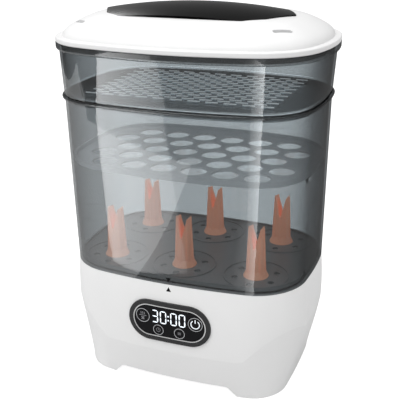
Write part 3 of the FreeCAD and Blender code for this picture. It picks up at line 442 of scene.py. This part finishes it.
def flat_bar(form, centre, length, width, turn=0.0, pointed=0.0):
    """A bar in the panel's plane, its ends drawn to points where pointed is over nought."""
    made = bmesh.ops.create_grid(form, x_segments=2, y_segments=1, size=0.5)["verts"]
    for corner in made:
        at_end = abs(corner.co.x) > 0.4
        corner.co = Vector((corner.co.x * length, 0, corner.co.y * width))
        if at_end and pointed:
            corner.co.z *= 1 - pointed
    bmesh.ops.rotate(form, verts=made, matrix=Matrix.Rotation(turn, 3, "Y"))
    bmesh.ops.translate(form, verts=made, vec=(centre[0], 0, centre[1]))


def flat_ring(form, centre, outer, inner, sweep=2 * pi, start=0.0, steps=48):
    """A ring, or an open arc, in the panel's plane."""
    earlier = set(form.verts)
    rim = form.verts.new((outer, 0, 0))
    bore = form.verts.new((inner, 0, 0))
    edge = form.edges.new((rim, bore))
    bmesh.ops.spin(form, geom=[rim, bore, edge], cent=(0, 0, 0), axis=(0, 1, 0), angle=sweep,
                   steps=steps, use_merge=sweep == 2 * pi)
    made = [corner for corner in form.verts if corner not in earlier]
    bmesh.ops.rotate(form, verts=made, matrix=Matrix.Rotation(start, 3, "Y"))
    bmesh.ops.translate(form, verts=made, vec=(centre[0], 0, centre[1]))


def light_print(name, colour, glow):
    """A printed or lit mark: slightly uneven, as a lamp behind a mask is. Its glow is the lamp's light on a
    lit mark and painted light on a printed one.
    """
    material, tree, shader = new_material(name)
    place = add_node(tree, "ShaderNodeTexCoord")
    uneven = add_node(tree, "ShaderNodeTexNoise", Scale=260.0, Detail=1.0)
    tint = add_node(tree, "ShaderNodeMix", data_type="RGBA")
    tint.inputs["A"].default_value = (*[0.85 * c for c in colour], 1)
    tint.inputs["B"].default_value = (*colour, 1)
    tree.links.new(place.outputs["Object"], uneven.inputs["Vector"])
    tree.links.new(uneven.outputs["Fac"], tint.inputs["Factor"])
    tree.links.new(tint.outputs["Result"], shader.inputs["Base Color"])
    tree.links.new(tint.outputs["Result"], shader.inputs["Emission Color"])
    shader.inputs["Emission Strength"].default_value = glow
    shader.inputs["Roughness"].default_value = 0.4
    return material


# ---- Display digits.
# A four-digit seven-segment read-out, lit cool white behind the lens: minutes and seconds.
digit_light = light_print("digit_light", (0.86, 0.93, 1.0), 0.8)
DIGIT_HEIGHT, DIGIT_WIDTH, STROKE = 15.4 * MM, 7.7 * MM, 1.5 * MM
DIGIT_MIDDLE = 89.2 * MM
SEGMENT_GAP = 0.9 * MM
DIGITS = zip("3000", (-15.9 * MM, -6.2 * MM, 5.9 * MM, 15.6 * MM))
COLON_PLACE, COLON_SIDE, COLON_RISE = -0.3 * MM, 1.5 * MM, 2.4 * MM
SEGMENTS_LIT = {"3": "abgcd", "0": "abcdef"}
SEGMENT_PLACES = {
    "a": (0, 1, 0), "d": (0, -1, 0), "g": (0, 0, 0),
    "f": (-1, 0.5, 1), "b": (1, 0.5, 1), "e": (-1, -0.5, 1), "c": (1, -0.5, 1),
}
form = bmesh.new()
for digit, across in DIGITS:
    for segment in SEGMENTS_LIT[digit]:
        side, level, upright = SEGMENT_PLACES[segment]
        centre = (across + side * (DIGIT_WIDTH - STROKE) / 2, level * (DIGIT_HEIGHT - STROKE) / 2)
        length = (DIGIT_HEIGHT - STROKE) / 2 if upright else DIGIT_WIDTH - STROKE
        flat_bar(form, centre, length - SEGMENT_GAP, STROKE, pi / 2 if upright else 0, pointed=0.45)
for level in (-1, 1):
    flat_bar(form, (COLON_PLACE, level * COLON_RISE), COLON_SIDE, COLON_SIDE)
thicken_forward(form, PRINT_THICKNESS)
lay_on_panel(form, 0, DIGIT_MIDDLE, LENS_FACE)
finish_piece("display_digits", form, digit_light, "base")


# ---- Key rings and symbols.
# Fine silver circles on the four caps, with a power mark, a steam-and-fan mark, a clock and
# an air mark, pad-printed on the caps so that they move with them.
# Each ink glows faintly of its own. This is painted light, as these marks are printed and not lit from
# behind.
silver_print = light_print("silver_print", (0.62, 0.63, 0.65), 0.12)
white_print = light_print("white_print", (0.8, 0.85, 0.9), 0.45)
faint_print = light_print("faint_print", (0.3, 0.3, 0.32), 0.08)
RING_INSET, RING_WIDTH = 0.15, 0.45
KEY_PLACES = {"mode": (-30.5, 87.5, 8.2), "power": (30.5, 87.5, 8.2),
              "left": (-12.3, 73.3, 6.2), "right": (12.3, 73.3, 6.2)}


def draw_power(form):
    """An open ring with a bar through its gap."""
    flat_ring(form, (0, 0), outer=5.3 * MM, inner=4.2 * MM, sweep=radians(290), start=radians(-55),
              steps=40)
    flat_bar(form, (0, 3.6 * MM), length=4.2 * MM, width=1.1 * MM, turn=pi / 2)


def draw_mode(form):
    """Steam over a line and a four-bladed fan under it."""
    hub_level, blade_reach = -3.2 * MM, 1.3 * MM
    flat_bar(form, (0, 0), length=8.8 * MM, width=0.55 * MM)
    for across in (-2.0, 0, 2.0):
        flat_bar(form, (across * MM, 2.9 * MM), length=2.9 * MM, width=0.6 * MM, turn=radians(78))
    for blade in range(4):
        angle = blade * pi / 2 + pi / 4
        middle = (blade_reach * cos(angle), hub_level + blade_reach * sin(angle))
        flat_bar(form, middle, length=2.0 * MM, width=1.2 * MM, turn=-angle, pointed=0.5)


def draw_clock(form):
    """A dial with its two hands."""
    flat_ring(form, (0, 0), outer=2.5 * MM, inner=2.15 * MM)
    flat_bar(form, (0, 0.7 * MM), length=1.5 * MM, width=0.4 * MM, turn=pi / 2)
    flat_bar(form, (0.55 * MM, 0), length=1.2 * MM, width=0.4 * MM)


def draw_air(form):
    """Three level streams of air."""
    for level in (-1.1, 0, 1.1):
        flat_bar(form, (0, level * MM), length=3.6 * MM, width=0.4 * MM)


SYMBOLS = {"mode": (draw_mode, faint_print), "power": (draw_power, white_print),
           "left": (draw_clock, faint_print), "right": (draw_air, faint_print)}
for key, (across, up, radius) in KEY_PLACES.items():
    form = bmesh.new()
    flat_ring(form, (0, 0), outer=(radius - RING_INSET) * MM, inner=(radius - RING_INSET - RING_WIDTH) * MM)
    thicken_forward(form, PRINT_THICKNESS)
    lay_on_panel(form, across * MM, up * MM, KEY_FACE)
    finish_piece(f"{key}_key_ring", form, silver_print, f"key_{key}")
    form = bmesh.new()
    draw, ink = SYMBOLS[key]
    draw(form)
    thicken_forward(form, PRINT_THICKNESS)
    lay_on_panel(form, across * MM, up * MM, KEY_FACE)
    finish_piece(f"{key}_key_symbol", form, ink, f"key_{key}")


# ---- Smoke-tinted chamber and upper tier.
# Clear polypropylene dyed a cool grey. It reads darker where the wall is seen edge on, and its
# polished faces mirror the studio.
FACING_MIRROR, GRAZING_MIRROR = 0.042, 0.15


def smoked_clear(name, colour, edge_colour, darkening, thick_bands=()):
    """Smoked clear plastic; each level band multiplies the colour, deeper under 1, paler over."""
    material = bpy.data.materials.new(name)
    material.use_nodes = True
    tree = material.node_tree
    tree.nodes.clear()
    link = tree.links.new
    output = add_node(tree, "ShaderNodeOutputMaterial")
    facing = add_node(tree, "ShaderNodeLayerWeight", Blend=0.5)
    through, deep = chain(tree, ("POWER", darkening))
    tint = add_node(tree, "ShaderNodeMix", data_type="RGBA")
    tint.inputs["A"].default_value = (*colour, 1)
    tint.inputs["B"].default_value = (*edge_colour, 1)
    last_tint = tint.outputs["Result"]
    place = add_node(tree, "ShaderNodeTexCoord")
    split = add_node(tree, "ShaderNodeSeparateXYZ")
    link(place.outputs["Object"], split.inputs["Vector"])
    for low, high, strength in thick_bands:
        inside = add_node(tree, "ShaderNodeMath", operation="COMPARE")
        inside.inputs[1].default_value = (low + high) / 2
        inside.inputs[2].default_value = (high - low) / 2
        link(split.outputs["Z"], inside.inputs[0])
        thick = add_node(tree, "ShaderNodeMix", data_type="RGBA", blend_type="MULTIPLY")
        thick.inputs["B"].default_value = (strength, strength, strength, 1)
        link(inside.outputs[0], thick.inputs["Factor"])
        link(last_tint, thick.inputs["A"])
        last_tint = thick.outputs["Result"]
    clear = add_node(tree, "ShaderNodeBsdfTransparent")
    grazing, mirrored = chain(tree, ("POWER", 5), ("MULTIPLY", GRAZING_MIRROR), ("ADD", FACING_MIRROR))
    mirror = add_node(tree, "ShaderNodeBsdfGlossy", Roughness=0.02)
    blend = add_node(tree, "ShaderNodeMixShader")
    link(facing.outputs["Facing"], through.inputs[0])
    link(deep.outputs[0], tint.inputs["Factor"])
    link(last_tint, clear.inputs["Color"])
    link(facing.outputs["Facing"], grazing.inputs[0])
    link(mirrored.outputs[0], blend.inputs["Fac"])
    link(clear.outputs["BSDF"], blend.inputs[1])
    link(mirror.outputs["BSDF"], blend.inputs[2])
    link(blend.outputs["Shader"], output.inputs["Surface"])
    return material


drum_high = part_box("drum_shell")[1]
tier_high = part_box("upper_tier")[1]
BEAD_HEIGHT = 4.2 * MM
RIM_HEIGHT = 6.9 * MM
TIER_FLOOR, TIER_FLOOR_DEPTH = 319.4 * MM, 2.2 * MM
FLOOR_TOLERANCE = 0.1 * MM
SMOKE, SMOKE_EDGE, EDGE_DARKENING = (0.70, 0.724, 0.735), (0.06, 0.068, 0.075), 1.7
smoked_drum = smoked_clear("smoked_drum", SMOKE, SMOKE_EDGE, EDGE_DARKENING,
                           [(drum_high.z - BEAD_HEIGHT, drum_high.z, 0.45)])
smoked_tier = smoked_clear("smoked_tier", SMOKE, SMOKE_EDGE, EDGE_DARKENING,
                           [(tier_high.z - RIM_HEIGHT, tier_high.z, 0.62),
                            (TIER_FLOOR - TIER_FLOOR_DEPTH, TIER_FLOOR + FLOOR_TOLERANCE, 1.5)])
dress(smoked_drum, "drum_shell")
dress(smoked_tier, "upper_tier")
# The clear walls let the studio light through to the pieces inside, and cast no shadow.
for name in ("drum_shell", "upper_tier"):
    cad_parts[name].visible_shadow = False


# ---- Slot lips of the upper tier.
# Each slot in the tier's floor has a low polished lip along its back edge, moulded in one with
# the floor in the same plastic. A painted glint, a faint glow of its own, shows it as a short bright dash.
SLOT_LENGTH, SLOT_ROW, SLOT_COLUMN = 13.0 * MM, 8.0 * MM, 19.0 * MM
SLOT_HALF_WIDTH = 1.4 * MM
LIP_WIDTH, LIP_HEIGHT, LIP_ROOT = 1.3 * MM, 0.7 * MM, 0.02 * MM


def slot_lip(form, across, along):
    """One lip, narrower at its crest, standing behind a slot's back edge."""
    made = bmesh.ops.create_cube(form, size=1)["verts"]
    for corner in made:
        at_crest = corner.co.z > 0
        length = SLOT_LENGTH - LIP_HEIGHT if at_crest else SLOT_LENGTH
        width = LIP_WIDTH / 2 if at_crest else LIP_WIDTH
        corner.co = Vector((corner.co.x * length, corner.co.y * width, corner.co.z * LIP_HEIGHT))
    bmesh.ops.translate(form, verts=made, vec=(across, along + SLOT_HALF_WIDTH + LIP_WIDTH / 2,
                                               TIER_FLOOR + LIP_HEIGHT / 2 - LIP_ROOT))


form = bmesh.new()
for row in range(-8, 9):
    if row % 2:
        columns = [column + 0.5 for column in range(-5, 5)]
    else:
        columns = range(-5, 6)
    for column in columns:
        slot_lip(form, column * SLOT_COLUMN, row * SLOT_ROW)
# The finish glows faintly: a painted glint, in place of the glint off a polished edge.
lip_glint = light_print("lip_glint", (0.85, 0.87, 0.88), 0.4)
finish_piece("tier_slot_lips", form, lip_glint, "tier")


# ---- Peg rack.
# A smoked plate with six hollow peach pegs, finned outside and notched across the top.
smoked_plate = moulded_plastic("smoked_plate", (0.22, 0.225, 0.23), 0.3, specular=0.3)
dress(smoked_plate, "rack_floor")


def lit_within(material, colour, strength):
    """A faint glow of its own, for the light that the chamber scatters onto the piece."""
    shader = material.node_tree.nodes["Principled BSDF"]
    shader.inputs["Emission Color"].default_value = (*colour, 1)
    shader.inputs["Emission Strength"].default_value = strength
    return shader


peach = moulded_plastic("peach_plastic", (0.93, 0.45, 0.29), 0.4)
peach_shader = lit_within(peach, (1.0, 0.43, 0.25), 0.2)
peach_shader.inputs["Subsurface Weight"].default_value = 0.25
peach_shader.inputs["Subsurface Radius"].default_value = (0.004, 0.002, 0.001)
dress(peach, *[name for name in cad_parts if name.startswith("peg_")])


# ---- Middle tray.
# A frosted grey plate with round holes in staggered rows, inside a stiffening band.
frosted = moulded_plastic("frosted_grey", (0.62, 0.64, 0.655), 0.45, 0.08)
lit_within(frosted, (0.9, 0.95, 1.0), 0.08)
dress(frosted, "mid_tray")


# ---- Lid.
# A white domed lid with two steam vents, and a long gloss black cap screwed to its crown.
lid_white = moulded_plastic("lid_white", (0.80, 0.80, 0.80), 0.3, 0.02, specular=0.4)
dress(lid_white, "lid_shell")
cap_black = moulded_plastic("cap_black", (0.002, 0.002, 0.002), 0.26, 0.01)
cap_black.node_tree.nodes["Principled BSDF"].inputs["IOR"].default_value = 1.06
dress(cap_black, "lid_cap")
